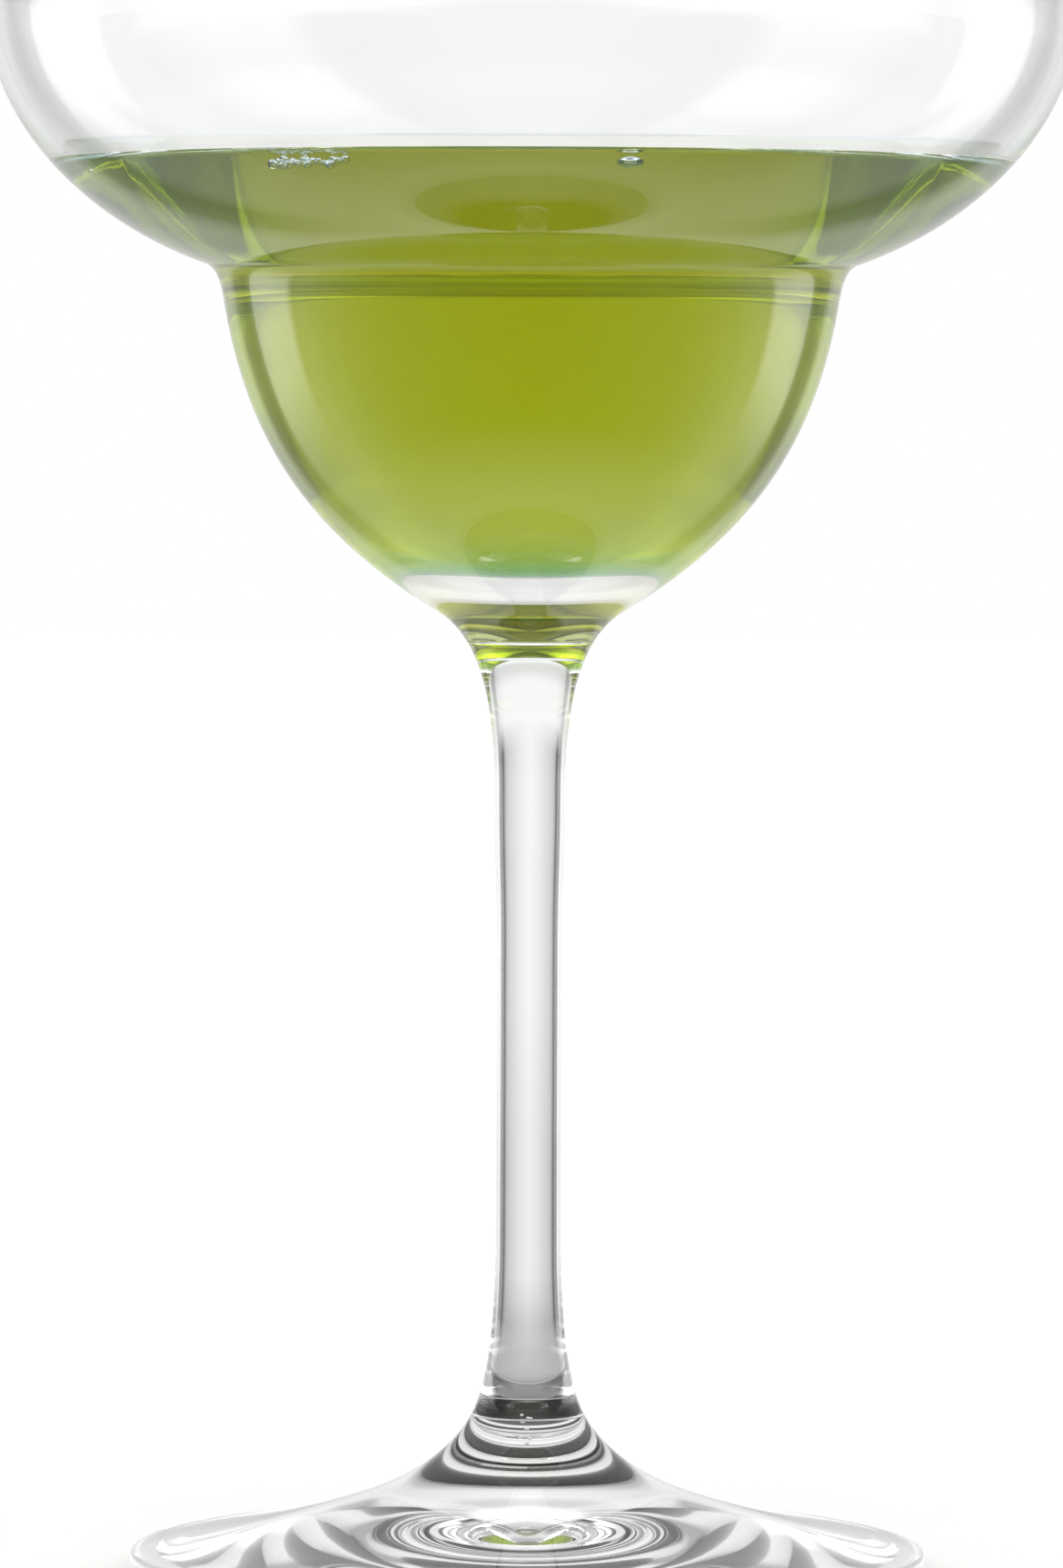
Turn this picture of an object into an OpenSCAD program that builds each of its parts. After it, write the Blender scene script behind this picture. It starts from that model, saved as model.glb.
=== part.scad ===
// Margarita glass: a wide bowl that steps in to a rounded cup, a slim drawn stem and a flared foot,
// fused hot into one vessel, with the drink standing in it. The glass rests on Z = 0, axis on Z.

/* [Rim] */
// How far the lip is drawn in from the widest place, on each side
rim_draw = 0.7; // [0:0.05:3]
// Height of the lip above the widest place of the bowl
rim_h = 6.9; // [4:0.1:12]
// Thickness of the rounded lip
lip_t = 1.3; // [1:0.05:2]
// How far the wall leans in at the lip, in degrees
rim_lean = 9; // [0:1:20]

/* [Bowl] */
// Widest outer diameter, just under the lip
belly_d = 115.6; // [100:0.2:130]
// Wall thickness at the widest place
belly_wall = 1.4; // [1.1:0.05:2]
// Height of the wide upper bowl, from the step to the widest place
shoulder_h = 28.7; // [24:0.1:34]
// How far the step stands out past the cup, on each side
step_w = 2.05; // [1.4:0.05:4]
// How flat the wide bowl runs into the step, in degrees from upright
step_lean = 70.5; // [60:0.5:76]
// Wall thickness at the step
step_wall = 1.9; // [1.4:0.05:2.6]
// Height of the step between the wide bowl and the cup
step_h = 4.95; // [4:0.05:7]

/* [Cup] */
// Outer diameter of the cup under the step
cup_d = 64.5; // [54:0.5:76]
// How far the cup's wall leans in under the step, in degrees
cup_lean = 10.3; // [6:0.1:14]
// Wall thickness at the top of the cup
cup_wall = 1.7; // [1.3:0.05:2.4]
// Height of the cup, from the flare of the stem to the step
cup_h = 31.6; // [27:0.1:38]
// Outer diameter where the cup turns into the stem
base_d = 19.6; // [17:0.1:23]
// How flat the cup runs where it turns into the stem, in degrees from upright
base_lean = 59; // [50:1:66]
// Thickness of the solid glass under the middle of the cup
base_t = 10.7; // [8:0.1:13]

/* [Stem] */
// Length of the stem between its two fused seats
stem_h = 82; // [70:0.5:96]
// Height of the cup's underside above the upper seat
seat_drop = 3.1; // [2:0.1:4.5]
// Length over which the cup narrows to the neck of the stem
flare_h = 19.3; // [15:0.1:24]
// Diameter of the stem at its neck
neck_d = 7.4; // [6.8:0.05:8]
// Length over which the neck tapers to the thin part
neck_taper = 16; // [10:0.1:20]
// Diameter of the thin part of the stem
stem_d = 6.85; // [6:0.05:7.2]
// Length over which the stem widens to the foot
toe_h = 19.7; // [14:0.1:24]
// Diameter of the stem where it is fused to the foot
collar_d = 11.9; // [10:0.1:14]
// How far the stem leans out at the foot, in degrees
collar_lean = 28; // [20:1:36]
// Height of the rounded end at the middle of each fused seat
seat_dome = 0.8; // [0.4:0.05:1.4]

/* [Foot] */
// Diameter of the foot
foot_d = 84.4; // [76:0.2:94]
// Height of the seat for the stem above the table
foot_h = 16.8; // [14:0.1:20]
// Diameter where the steep collar turns into the slope of the foot
knee_d = 36.4; // [32:0.2:42]
// Height of that turn above the table
knee_z = 7.9; // [7:0.1:9.5]
// Slope of the foot at that turn, in degrees
knee_slope = 19; // [14:0.5:24]
// Slope of the foot just inside its rounded edge, in degrees
edge_slope = 13; // [8:0.5:16]
// Height of the foot where its rounded edge starts
edge_h = 2.7; // [2.3:0.05:3.4]
// Width of the rounded edge
edge_w = 2.1; // [1.5:0.05:2.8]
// Height of the widest place of the edge
edge_mid = 1.7; // [1.2:0.05:2]
// How far the flat ring that touches the table lies inside the edge
ring_inset = 1.6; // [1.2:0.05:2.4]
// Width of the flat ring that touches the table
ring_w = 1.8; // [1:0.1:3]
// Height of the hollow under the middle of the foot
hollow_h = 2.6; // [1.2:0.1:3.6]

/* [Drink] */
// Depth of the drink at the middle
drink_depth = 40.6; // [34:0.2:50]
// How high the drink climbs the glass at its edge
climb_h = 0.3; // [0.2:0.05:0.6]
// Width of the edge over which it climbs
climb_w = 1.4; // [1:0.1:2]
// How far the climbing edge leans in where it meets the glass, in degrees
climb_lean = 65; // [60:1:80]

/* [Hidden] */
$fn = 120;
steps = 14;

// Heights, each built up from the table
upper_seat_z = foot_h + stem_h;
floor_z = upper_seat_z + base_t;
base_z = upper_seat_z + seat_drop;
cup_z = base_z + cup_h;
step_z = cup_z + step_h;
belly_z = step_z + shoulder_h;
rim_z = belly_z + rim_h;
neck_z = base_z - flare_h;
thin_z = neck_z - neck_taper;
toe_z = foot_h + toe_h;
level_z = floor_z + drink_depth;

// Handles of the curves, as shares of the straight distance between their ends
shoulder_share = 0.37;
step_share = 0.3;
cup_start_share = 0.372;
cup_end_share = 0.4;
floor_start_share = 0.5;
floor_end_share = 0.275;
flare_start_share = 0.275;
flare_end_share = 0.44;
taper_share = 0.4;
toe_start_share = 0.46;
toe_end_share = 0.2;
knee_start_share = 0.25;
knee_end_share = 0.48;
slope_start_share = 0.5;
slope_end_share = 0.18;
edge_share = 0.5;
hollow_share = 0.4;
climb_share = 0.3;
rim_share = 0.4;

// Way along a wall going down: a lean above 0 runs in to the axis and below 0 runs out
function down(lean) = [-sin(lean), -cos(lean)];
// The side of a wall that faces away from the axis
function outward(lean) = [cos(lean), -sin(lean)];
// Cubic curve from p to q that leaves with lean a and arrives with lean b
function curve(p, a, q, b, start_share, end_share) =
    let (chord = norm(q - p), c = p + down(a) * chord * start_share, e = q - down(b) * chord * end_share)
    [for (i = [0:steps]) let (t = i / steps, s = 1 - t)
        s * s * s * p + 3 * s * s * t * c + 3 * s * t * t * e + t * t * t * q];
function tail(points) = [for (i = [1:len(points) - 1]) points[i]];
function reversed(points) = [for (i = [len(points) - 1:-1:0]) points[i]];
// Where the stretch from p to q crosses height z
function crossing(p, q, z) = p + (q - p) * (z - p[1]) / (q[1] - p[1]);
// The part of a falling wall above height z, and the part below it, both ending in the crossing
function above(wall, z) = concat([for (p = wall) if (p[1] > z) p], [cut_point(wall, z)]);
function below(wall, z) = concat([cut_point(wall, z)], [for (p = wall) if (p[1] < z) p]);
function cut_point(wall, z) = [for (i = [1:len(wall) - 1])
    if (wall[i - 1][1] >= z && wall[i][1] < z) crossing(wall[i - 1], wall[i], z)][0];
// A round-ended seat from the wall of the stem to the axis, its middle raised by rise
function seat(edge, rise) = [for (i = [0:steps]) let (t = i / steps)
    [edge[0] * (1 - t), edge[1] + rise * (1 - (1 - t) * (1 - t))]];

// Outer wall of the vessel from the lip down to the neck of the stem
lip_mid = [belly_d / 2 - rim_draw - lip_t / 2, rim_z - lip_t / 2];
lip_out = lip_mid + outward(-rim_lean) * lip_t / 2;
belly_out = [belly_d / 2, belly_z];
step_out = [cup_d / 2 + step_w, step_z];
cup_out = [cup_d / 2, cup_z];
base_out = [base_d / 2, base_z];
neck_out = [neck_d / 2, neck_z];
outer_wall = concat(
    curve(lip_out, -rim_lean, belly_out, 0, rim_share, rim_share),
    tail(curve(belly_out, 0, step_out, step_lean, shoulder_share, shoulder_share)),
    tail(curve(step_out, step_lean, cup_out, cup_lean, step_share, step_share)),
    tail(curve(cup_out, cup_lean, base_out, base_lean, cup_start_share, cup_end_share)),
    tail(curve(base_out, base_lean, neck_out, 0, flare_start_share, flare_end_share)));

// Inner wall of the bowl from the lip down to the middle of the floor, set in by the wall thickness
lip_in = lip_mid - outward(-rim_lean) * lip_t / 2;
belly_in = belly_out - outward(0) * belly_wall;
step_in = step_out - outward(step_lean) * step_wall;
cup_in = cup_out - outward(cup_lean) * cup_wall;
floor_mid = [0, floor_z];
inner_wall = concat(
    curve(lip_in, -rim_lean, belly_in, 0, rim_share, rim_share),
    tail(curve(belly_in, 0, step_in, step_lean, shoulder_share, shoulder_share)),
    tail(curve(step_in, step_lean, cup_in, cup_lean, step_share, step_share)),
    tail(curve(cup_in, cup_lean, floor_mid, 90, floor_start_share, floor_end_share)));

// Wall of the stem from its neck down to the foot
thin_out = [stem_d / 2, thin_z];
toe_out = [stem_d / 2, toe_z];
collar_out = [collar_d / 2, foot_h];
stem_wall = concat(
    tail(curve(neck_out, 0, thin_out, 0, taper_share, taper_share)),
    curve(toe_out, 0, collar_out, -collar_lean, toe_start_share, toe_end_share));

// Wall of the foot from the seat of the stem to the flat ring on the table, then under the foot
knee_out = [knee_d / 2, knee_z];
edge_top = [foot_d / 2 - edge_w, edge_h];
edge_out = [foot_d / 2, edge_mid];
ring_out = [foot_d / 2 - ring_inset, 0];
ring_in = ring_out - [ring_w, 0];
hollow_mid = [0, hollow_h];
foot_wall = concat(
    tail(curve(collar_out, -collar_lean, knee_out, knee_slope - 90, knee_start_share, knee_end_share)),
    tail(curve(knee_out, knee_slope - 90, edge_top, edge_slope - 90, slope_start_share, slope_end_share)),
    tail(curve(edge_top, edge_slope - 90, edge_out, 0, edge_share, edge_share)),
    tail(curve(edge_out, 0, ring_out, 90, edge_share, edge_share)),
    curve(ring_in, 90, hollow_mid, 90, hollow_share, hollow_share));

// The two seats where the pieces are fused, each shared by both pieces
upper_seat = seat(cut_point(outer_wall, upper_seat_z), seat_dome);
lower_seat = seat(collar_out, -seat_dome);

// The lip's half round from its inner to its outer side
lip_round = [for (i = [1:steps - 1]) let (a = 180 * i / steps - rim_lean)
    lip_mid + [-cos(a), sin(a)] * lip_t / 2];

// Edge of the drink, from where it meets the glass to its level
brink = cut_point(inner_wall, level_z + climb_h);
level_edge = [brink[0] - climb_w, level_z];
climb = curve(brink, climb_lean, level_edge, 90, climb_share, climb_share);

module bowl() {
    color([0.9, 0.95, 0.96, 0.45])
        rotate_extrude()
            polygon(concat(reversed(inner_wall), lip_round, above(outer_wall, upper_seat_z),
                tail(upper_seat)));
}

module stem() {
    color([0.86, 0.91, 0.93, 0.6])
        rotate_extrude()
            polygon(concat(reversed(upper_seat), tail(below(outer_wall, upper_seat_z)), stem_wall,
                tail(lower_seat)));
}

module foot() {
    color([0.88, 0.93, 0.95, 0.55])
        rotate_extrude()
            polygon(concat(reversed(lower_seat), foot_wall));
}

module drink() {
    color([0.62, 0.66, 0.06])
        rotate_extrude()
            polygon(concat([[0, level_z]], reversed(climb), tail(below(inner_wall, level_z + climb_h))));
}

bowl();
stem();
foot();
drink();
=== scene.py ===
"""Margarita glass with its drink: the glass, the liquid and a plain studio, in metres."""

import logging
import math
from dataclasses import dataclass, field
from enum import Enum

import bpy
from mathutils import Matrix, Vector

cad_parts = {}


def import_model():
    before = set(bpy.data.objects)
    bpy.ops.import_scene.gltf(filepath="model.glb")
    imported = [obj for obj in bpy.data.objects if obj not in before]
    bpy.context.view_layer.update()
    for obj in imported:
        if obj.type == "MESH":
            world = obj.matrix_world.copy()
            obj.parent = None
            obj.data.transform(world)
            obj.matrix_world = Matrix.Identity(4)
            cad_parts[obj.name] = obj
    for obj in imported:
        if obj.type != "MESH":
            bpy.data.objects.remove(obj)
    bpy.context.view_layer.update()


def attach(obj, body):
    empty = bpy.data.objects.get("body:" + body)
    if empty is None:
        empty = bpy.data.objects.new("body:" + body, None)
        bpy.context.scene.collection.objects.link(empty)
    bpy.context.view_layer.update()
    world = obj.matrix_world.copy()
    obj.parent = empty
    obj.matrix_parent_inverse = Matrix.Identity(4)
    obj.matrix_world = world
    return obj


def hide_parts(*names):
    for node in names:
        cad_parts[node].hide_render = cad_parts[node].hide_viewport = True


log = logging.getLogger("margarita")
MM = 0.001
GLASS_IOR = 1.52
DRINK_IOR = 1.34
LONGEST_PATH = 128
SHORTEST_PATH = 16
HAZE_BOUNCES = 8
LIP_STEPS = 16
SEAT_STEPS = 12
SHORT_CURVE = 12
USUAL_CURVE = 28
LONG_CURVE = 72
LEVEL = 90.0
WELD = 1e-7
ROUNDING = 1e-6
HALF = 0.5
WHITE = (1.0, 1.0, 1.0)
Point = tuple[float, float]
Outline = list[Point]
Stops = tuple[tuple[float, float], ...]
Colour = tuple[float, float, float]
Place = tuple[float, float, float]


class Band(Enum):
    """What one stretch of an outline is made of; the value is the number that its points carry."""

    GLASS = 0
    SEAM = 1
    WET = 2

    @property
    def label(self) -> str:
        """Name of the node tree's input that takes the material."""
        return self.name.capitalize()


def down(lean: float) -> Vector:
    """Way along a wall going down; a lean above 0, in degrees, runs in to the axis."""
    a = math.radians(lean)
    return Vector((-math.sin(a), -math.cos(a)))


def outward(lean: float) -> Vector:
    """The side of a wall with this lean that faces away from the axis."""
    a = math.radians(lean)
    return Vector((math.cos(a), -math.sin(a)))


def curve(
    p: Point, lean_p: float, q: Point, lean_q: float, start: float, end: float, steps: int = USUAL_CURVE
) -> Outline:
    """A cubic curve between two places of a wall.

    Args:
        p: where it starts, as radius and height.
        lean_p: lean of the wall there, in degrees.
        q: where it ends.
        lean_q: lean of the wall there.
        start: length of the first handle as a share of the distance from p to q.
        end: length of the last handle, likewise.
        steps: how many straight stretches stand for it.

    Returns:
        The points, both ends included.
    """
    a, d = Vector(p), Vector(q)
    chord = (d - a).length
    b, c = a + down(lean_p) * chord * start, d - down(lean_q) * chord * end
    points = []
    for i in range(steps + 1):
        t = i / steps
        s = 1 - t
        at = s**3 * a + 3 * s * s * t * b + 3 * s * t * t * c + t**3 * d
        points.append((at.x, at.y))
    return points


def cut_point(wall: Outline, z: float) -> Point:
    """Where a wall crosses a height.

    Args:
        wall: an outline that falls all the way.
        z: the height.

    Returns:
        The place, as radius and height.
    """
    for (r0, z0), (r1, z1) in zip(wall, wall[1:]):
        if z0 >= z > z1:
            return r0 + (r1 - r0) * (z - z0) / (z1 - z0), z
    raise ValueError(f"the wall doesn't cross {z}")


def above(wall: Outline, z: float) -> Outline:
    """The part of a falling wall above height z, with its end at z."""
    return [p for p in wall if p[1] > z + ROUNDING] + [cut_point(wall, z)]


def below(wall: Outline, z: float) -> Outline:
    """The part of a falling wall below height z, with its start at z."""
    return [cut_point(wall, z)] + [p for p in wall if p[1] < z - ROUNDING]


@dataclass
class NodeSums:
    """Sums and graphs of sockets and plain numbers in one node tree."""

    tree: bpy.types.NodeTree

    def sum(self, kind: str, *terms: bpy.types.NodeSocket | float) -> bpy.types.NodeSocket:
        """A math node.

        Args:
            kind: the operation.
            terms: sockets or numbers that it works on.

        Returns:
            The socket with the result.
        """
        node = self.tree.nodes.new("ShaderNodeMath")
        node.operation = kind
        for place, term in zip(node.inputs, terms):
            if isinstance(term, (int, float)):
                place.default_value = term
            else:
                self.tree.links.new(term, place)
        return node.outputs[0]

    def ramp(
        self, value: bpy.types.NodeSocket, stops: list[tuple[float, Colour]]
    ) -> bpy.types.NodeSocket:
        """A colour that follows a value from 0 to 1.

        Args:
            value: the value.
            stops: the places, rising, and the colour at each.

        Returns:
            The socket with the colour.
        """
        node = self.tree.nodes.new("ShaderNodeValToRGB")
        line = node.color_ramp
        line.interpolation = "LINEAR"
        while len(line.elements) < len(stops):
            line.elements.new(1.0)
        for element, (place, colour) in zip(line.elements, stops):
            element.position = place
            element.color = (*colour, 1)
        self.tree.links.new(value, node.inputs[0])
        return node.outputs[0]

    def graph(self, value: bpy.types.NodeSocket, stops: Stops) -> bpy.types.NodeSocket:
        """A line graph through stops, level beyond both ends.

        Args:
            value: where to read it.
            stops: the places, rising, and the height at each.

        Returns:
            The socket with the height.
        """
        first, last = stops[0][0], stops[-1][0]
        peak = max(height for _, height in stops)
        scaled = self.sum("DIVIDE", self.sum("SUBTRACT", value, first), last - first)
        greys = [((place - first) / (last - first), (height / peak,) * 3) for place, height in stops]
        return self.sum("MULTIPLY", self.ramp(scaled, greys), peak)

    def blend(
        self,
        low: bpy.types.NodeSocket | float,
        high: bpy.types.NodeSocket | float,
        share: bpy.types.NodeSocket,
    ) -> bpy.types.NodeSocket:
        """A value between two others.

        Args:
            low: the value at share 0.
            high: the value at share 1.
            share: how far to go from low to high.

        Returns:
            The socket with the value.
        """
        return self.sum("MULTIPLY_ADD", self.sum("SUBTRACT", high, low), share, low)


def set_inputs(node: bpy.types.Node, values: dict[str, float | tuple[float, ...]]) -> None:
    """Sets a node's own sockets, by name."""
    for name, value in values.items():
        node.inputs[name].default_value = value


def new_finish(name: str) -> tuple[bpy.types.Material, bpy.types.NodeTree]:
    """Starts a material.

    Args:
        name: its name.

    Returns:
        The material and its node tree.
    """
    mat = bpy.data.materials.new(name)
    mat.use_nodes = True
    return mat, mat.node_tree


def placed(name: str, data: bpy.types.Mesh | bpy.types.Camera) -> bpy.types.Object:
    """Puts a mesh or a camera into the scene.

    Args:
        name: name of the object.
        data: what it holds.

    Returns:
        The object, at the origin.
    """
    thing = bpy.data.objects.new(name, data)
    bpy.context.scene.collection.objects.link(thing)
    return thing


def line_mesh(name: str, points: list[Place]) -> bpy.types.Mesh:
    """A line through points.

    Args:
        name: name of the mesh.
        points: the points in millimetres.

    Returns:
        The mesh in metres, with an edge from each point to the next.
    """
    mesh = bpy.data.meshes.new(name)
    places = [tuple(c * MM for c in point) for point in points]
    mesh.from_pydata(places, [(i, i + 1) for i in range(len(places) - 1)], [])
    return mesh


def shape_tree(
    name: str, inputs: dict[str, str], output: str
) -> tuple[bpy.types.NodeTree, bpy.types.Node, bpy.types.Node]:
    """Starts a geometry node tree.

    Args:
        name: its name.
        inputs: the kind of each input, by name.
        output: name of the finished shape.

    Returns:
        The tree, the node that gives its inputs and the node that takes the finished shape.
    """
    tree = bpy.data.node_groups.new(name, "GeometryNodeTree")
    for socket, kind in inputs.items():
        tree.interface.new_socket(socket, in_out="INPUT", socket_type="NodeSocket" + kind)
    tree.interface.new_socket(output, in_out="OUTPUT", socket_type="NodeSocketGeometry")
    return tree, tree.nodes.new("NodeGroupInput"), tree.nodes.new("NodeGroupOutput")


def grown(
    name: str,
    line: bpy.types.Mesh,
    tree: bpy.types.NodeTree,
    values: dict[str, float | bpy.types.Material],
) -> bpy.types.Mesh:
    """Runs a geometry node tree on a line.

    Args:
        name: name of the mesh that comes out.
        line: the line.
        tree: the tree.
        values: its inputs apart from the line, by name.

    Returns:
        The finished shape as a plain mesh.
    """
    maker = placed(line.name, line)
    modifier = maker.modifiers.new(tree.name, "NODES")
    modifier.node_group = tree
    ids = {s.name: s.identifier for s in tree.interface.items_tree if s.in_out == "INPUT"}
    for socket, value in values.items():
        modifier[ids[socket]] = value
    graph = bpy.context.evaluated_depsgraph_get()
    made = bpy.data.meshes.new_from_object(maker.evaluated_get(graph), depsgraph=graph)
    bpy.data.objects.remove(maker)
    made.name = name
    return made


@dataclass
class Shape:
    """Sizes of the vessel and its drink in millimetres, the same as the solids have.

    A lean is in degrees from straight down, and handles are shares of a curve's chord.
    """

    rim_draw: float = 0.7
    rim_h: float = 6.9
    lip_t: float = 1.3
    rim_lean: float = 9.0
    belly_d: float = 115.6
    belly_wall: float = 1.4
    shoulder_h: float = 28.7
    step_w: float = 2.05
    step_lean: float = 70.5
    step_wall: float = 1.9
    step_h: float = 4.95
    cup_d: float = 64.5
    cup_lean: float = 10.3
    cup_wall: float = 1.7
    cup_h: float = 31.6
    base_d: float = 19.6
    base_lean: float = 59.0
    base_t: float = 10.7
    stem_h: float = 82.0
    seat_drop: float = 3.1
    flare_h: float = 19.3
    neck_d: float = 7.4
    neck_taper: float = 16.0
    stem_d: float = 6.85
    toe_h: float = 19.7
    collar_d: float = 11.9
    collar_lean: float = 28.0
    seat_dome: float = 0.8
    foot_d: float = 84.4
    foot_h: float = 16.8
    knee_d: float = 36.4
    knee_z: float = 7.9
    knee_slope: float = 19.0
    edge_slope: float = 13.0
    edge_h: float = 2.7
    edge_w: float = 2.1
    edge_mid: float = 1.7
    ring_inset: float = 1.6
    ring_w: float = 1.8
    hollow_h: float = 2.6
    drink_depth: float = 40.6
    climb_h: float = 0.3
    climb_w: float = 1.4
    climb_lean: float = 65.0
    rim_handles: Point = (0.4, 0.4)
    shoulder_handles: Point = (0.37, 0.37)
    step_handles: Point = (0.3, 0.3)
    cup_handles: Point = (0.372, 0.4)
    floor_handles: Point = (0.5, 0.275)
    flare_handles: Point = (0.275, 0.44)
    neck_handles: Point = (0.4, 0.4)
    toe_handles: Point = (0.46, 0.2)
    collar_handles: Point = (0.25, 0.48)
    slope_handles: Point = (0.5, 0.18)
    edge_handles: Point = (0.5, 0.5)
    hollow_handles: Point = (0.4, 0.4)
    climb_handles: Point = (0.3, 0.3)

    @property
    def upper_seat_z(self) -> float:
        """Height of the seat between the bowl and the stem."""
        return self.foot_h + self.stem_h

    @property
    def floor_z(self) -> float:
        """Height of the bowl's floor."""
        return self.upper_seat_z + self.base_t

    @property
    def base_z(self) -> float:
        """Height where the cup turns into the stem."""
        return self.upper_seat_z + self.seat_drop

    @property
    def cup_z(self) -> float:
        """Height of the top of the cup."""
        return self.base_z + self.cup_h

    @property
    def step_z(self) -> float:
        """Height of the top of the step."""
        return self.cup_z + self.step_h

    @property
    def belly_z(self) -> float:
        """Height of the widest place."""
        return self.step_z + self.shoulder_h

    @property
    def rim_z(self) -> float:
        """Height of the lip."""
        return self.belly_z + self.rim_h

    @property
    def level_z(self) -> float:
        """Height of the drink's level."""
        return self.floor_z + self.drink_depth

    def lip(self) -> tuple[Vector, Vector, Vector]:
        """The rounded lip.

        Returns:
            Its middle, its outer side and its inner side.
        """
        mid = Vector((self.belly_d / 2 - self.rim_draw - self.lip_t / 2, self.rim_z - self.lip_t / 2))
        half = outward(-self.rim_lean) * self.lip_t / 2
        return mid, mid + half, mid - half

    def outer_wall(self) -> Outline:
        """Outer wall of the bowl and of the stem's flare.

        Returns:
            The points from the lip down to the neck of the stem.
        """
        belly, step = (self.belly_d / 2, self.belly_z), (self.cup_d / 2 + self.step_w, self.step_z)
        cup, base = (self.cup_d / 2, self.cup_z), (self.base_d / 2, self.base_z)
        neck = (self.neck_d / 2, self.base_z - self.flare_h)
        return (
            curve(tuple(self.lip()[1]), -self.rim_lean, belly, 0, *self.rim_handles)
            + curve(belly, 0, step, self.step_lean, *self.shoulder_handles)[1:]
            + curve(step, self.step_lean, cup, self.cup_lean, *self.step_handles)[1:]
            + curve(cup, self.cup_lean, base, self.base_lean, *self.cup_handles)[1:]
            + curve(base, self.base_lean, neck, 0, *self.flare_handles)[1:]
        )

    def inner_wall(self) -> Outline:
        """Inner wall of the bowl.

        Returns:
            The points from the lip down to the middle of the floor.
        """
        belly = Vector((self.belly_d / 2 - self.belly_wall, self.belly_z))
        step = Vector((self.cup_d / 2 + self.step_w, self.step_z)) - outward(self.step_lean) * self.step_wall
        cup = Vector((self.cup_d / 2, self.cup_z)) - outward(self.cup_lean) * self.cup_wall
        return (
            curve(tuple(self.lip()[2]), -self.rim_lean, belly, 0, *self.rim_handles)
            + curve(belly, 0, step, self.step_lean, *self.shoulder_handles)[1:]
            + curve(step, self.step_lean, cup, self.cup_lean, *self.step_handles)[1:]
            + curve(cup, self.cup_lean, (0.0, self.floor_z), LEVEL, *self.floor_handles)[1:]
        )

    def stem_wall(self) -> Outline:
        """Wall of the stem below its neck.

        Returns:
            The points down to the foot.
        """
        neck = (self.neck_d / 2, self.base_z - self.flare_h)
        thin = (self.stem_d / 2, self.base_z - self.flare_h - self.neck_taper)
        toe, collar = (self.stem_d / 2, self.foot_h + self.toe_h), (self.collar_d / 2, self.foot_h)
        return (
            curve(neck, 0, thin, 0, *self.neck_handles)[1:]
            + curve(toe, 0, collar, -self.collar_lean, *self.toe_handles, LONG_CURVE)
        )

    def foot_wall(self) -> Outline:
        """Wall of the foot.

        Returns:
            The points from the stem's seat over the edge to the middle of the underside.
        """
        collar, knee = (self.collar_d / 2, self.foot_h), (self.knee_d / 2, self.knee_z)
        top = (self.foot_d / 2 - self.edge_w, self.edge_h)
        edge, ring = (self.foot_d / 2, self.edge_mid), (self.foot_d / 2 - self.ring_inset, 0.0)
        hollow = (ring[0] - self.ring_w, 0.0)
        upper, lower = self.knee_slope - LEVEL, self.edge_slope - LEVEL
        return (
            curve(collar, -self.collar_lean, knee, upper, *self.collar_handles, LONG_CURVE)[1:]
            + curve(knee, upper, top, lower, *self.slope_handles)[1:]
            + curve(top, lower, edge, 0, *self.edge_handles, SHORT_CURVE)[1:]
            + curve(edge, 0, ring, LEVEL, *self.edge_handles, SHORT_CURVE)[1:]
            + curve(hollow, LEVEL, (0.0, self.hollow_h), LEVEL, *self.hollow_handles)
        )

    def seat(self, edge: Point, rise: float) -> Outline:
        """A fused seat inside the glass.

        Args:
            edge: where it meets the outer wall.
            rise: how much higher its middle lies.

        Returns:
            The points from the wall to the axis.
        """
        points = []
        for i in range(SEAT_STEPS + 1):
            t = i / SEAT_STEPS
            points.append((edge[0] * (1 - t), edge[1] + rise * (1 - (1 - t) ** 2)))
        return points

    def upper_seat(self) -> Outline:
        """Seat between the bowl and the stem."""
        return self.seat(cut_point(self.outer_wall(), self.upper_seat_z), self.seat_dome)

    def lower_seat(self) -> Outline:
        """Seat between the stem and the foot."""
        return self.seat((self.collar_d / 2, self.foot_h), -self.seat_dome)

    def climb(self) -> Outline:
        """Edge of the drink.

        Returns:
            The points from where it meets the glass down to its level.
        """
        brink = cut_point(self.inner_wall(), self.level_z + self.climb_h)
        end = (brink[0] - self.climb_w, self.level_z)
        return curve(brink, self.climb_lean, end, LEVEL, *self.climb_handles, SHORT_CURVE)


@dataclass(frozen=True)
class ClearGlass:
    """Colourless glass, polished by the fire."""

    name: str
    ior: float = GLASS_IOR
    tint: Colour = (0.992, 0.997, 0.996)
    roughness: float = 0.0

    def material(self) -> bpy.types.Material:
        """The glass as a material.

        Returns:
            The material.
        """
        mat, tree = new_finish(self.name)
        values = {
            "Base Color": (*self.tint, 1),
            "Roughness": self.roughness,
            "IOR": self.ior,
            "Transmission Weight": 1.0,
        }
        set_inputs(tree.nodes["Principled BSDF"], values)
        return mat


@dataclass(frozen=True)
class FusedSeam:
    """A seat inside one piece of glass, where light goes straight through."""

    name: str = "fused_seam"

    def material(self) -> bpy.types.Material:
        """The seam as a material.

        Returns:
            The material.
        """
        mat, tree = new_finish(self.name)
        tree.nodes.remove(tree.nodes["Principled BSDF"])
        clear = tree.nodes.new("ShaderNodeBsdfTransparent")
        tree.links.new(clear.outputs[0], tree.nodes["Material Output"].inputs["Surface"])
        return mat


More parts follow.
